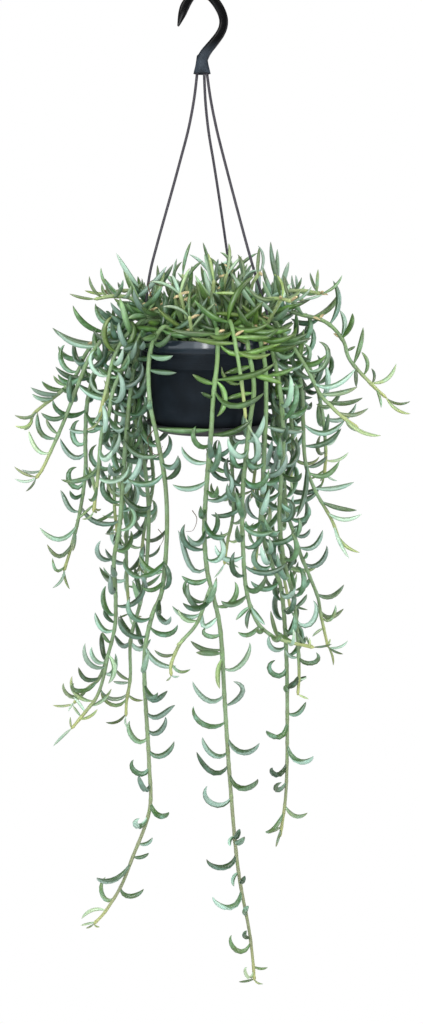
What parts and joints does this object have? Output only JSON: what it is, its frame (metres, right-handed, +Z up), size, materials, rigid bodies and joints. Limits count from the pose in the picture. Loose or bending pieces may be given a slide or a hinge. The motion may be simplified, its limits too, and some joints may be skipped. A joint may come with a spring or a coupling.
{
  "type": "potted string of bananas in a hanging pot",
  "caption": "Trailing succulent with banana-shaped leaves in a round plastic hanging pot, carried by a flat hook on thin strands.",
  "frame": {"origin": "the hook's seat: the middle of the inside top of the hook, where a rod or bracket carries it", "axes": "+Z up; +X to the right of the front view; the front, where the longest stem hangs, faces -Y"},
  "size_m": [0.454, 0.2468, 1.1394],
  "materials": {
    "pot_plastic": "satin",
    "saucer_plastic": "satin",
    "hook_plastic": "gloss",
    "strand_plastic": "satin",
    "potting_soil": "matte",
    "leafy_stem": "satin"
  },
  "bodies": {
    "root": {"hanger_hook": "hook_plastic", "pot": "pot_plastic", "saucer": "saucer_plastic", "shoot_01": "leafy_stem", "shoot_02": "leafy_stem", "shoot_03": "leafy_stem", "shoot_04": "leafy_stem", "shoot_05": "leafy_stem", "shoot_06": "leafy_stem", "shoot_07": "leafy_stem", "shoot_08": "leafy_stem", "shoot_09": "leafy_stem", "shoot_10": "leafy_stem", "shoot_11": "leafy_stem", "shoot_12": "leafy_stem", "shoot_13": "leafy_stem", "shoot_14": "leafy_stem", "shoot_15": "leafy_stem", "shoot_16": "leafy_stem", "shoot_17": "leafy_stem", "shoot_18": "leafy_stem", "shoot_19": "leafy_stem", "shoot_20": "leafy_stem", "soil": "potting_soil", "stem_back_1": "leafy_stem", "stem_back_2": "leafy_stem", "stem_back_3": "leafy_stem", "stem_back_4": "leafy_stem", "stem_back_5": "leafy_stem", "stem_back_6": "leafy_stem", "stem_back_7": "leafy_stem", "stem_back_8": "leafy_stem", "stem_back_mid": "leafy_stem", "stem_back_right": "leafy_stem", "stem_front_long": "leafy_stem", "stem_front_mid": "leafy_stem", "stem_front_right": "leafy_stem", "stem_left_drop": "leafy_stem", "stem_left_fork": "leafy_stem", "stem_left_high": "leafy_stem", "stem_left_inner": "leafy_stem", "stem_left_long": "leafy_stem", "stem_left_mid": "leafy_stem", "stem_left_near": "leafy_stem", "stem_left_out": "leafy_stem", "stem_left_short": "leafy_stem", "stem_left_side": "leafy_stem", "stem_right_drop": "leafy_stem", "stem_right_front": "leafy_stem", "stem_right_high": "leafy_stem", "stem_right_long": "leafy_stem", "stem_right_low": "leafy_stem", "stem_right_out": "leafy_stem", "stem_right_side": "leafy_stem", "stem_right_tuft": "leafy_stem", "strand_back": "strand_plastic", "strand_left": "strand_plastic", "strand_right": "strand_plastic"}
  },
  "joints": []
}
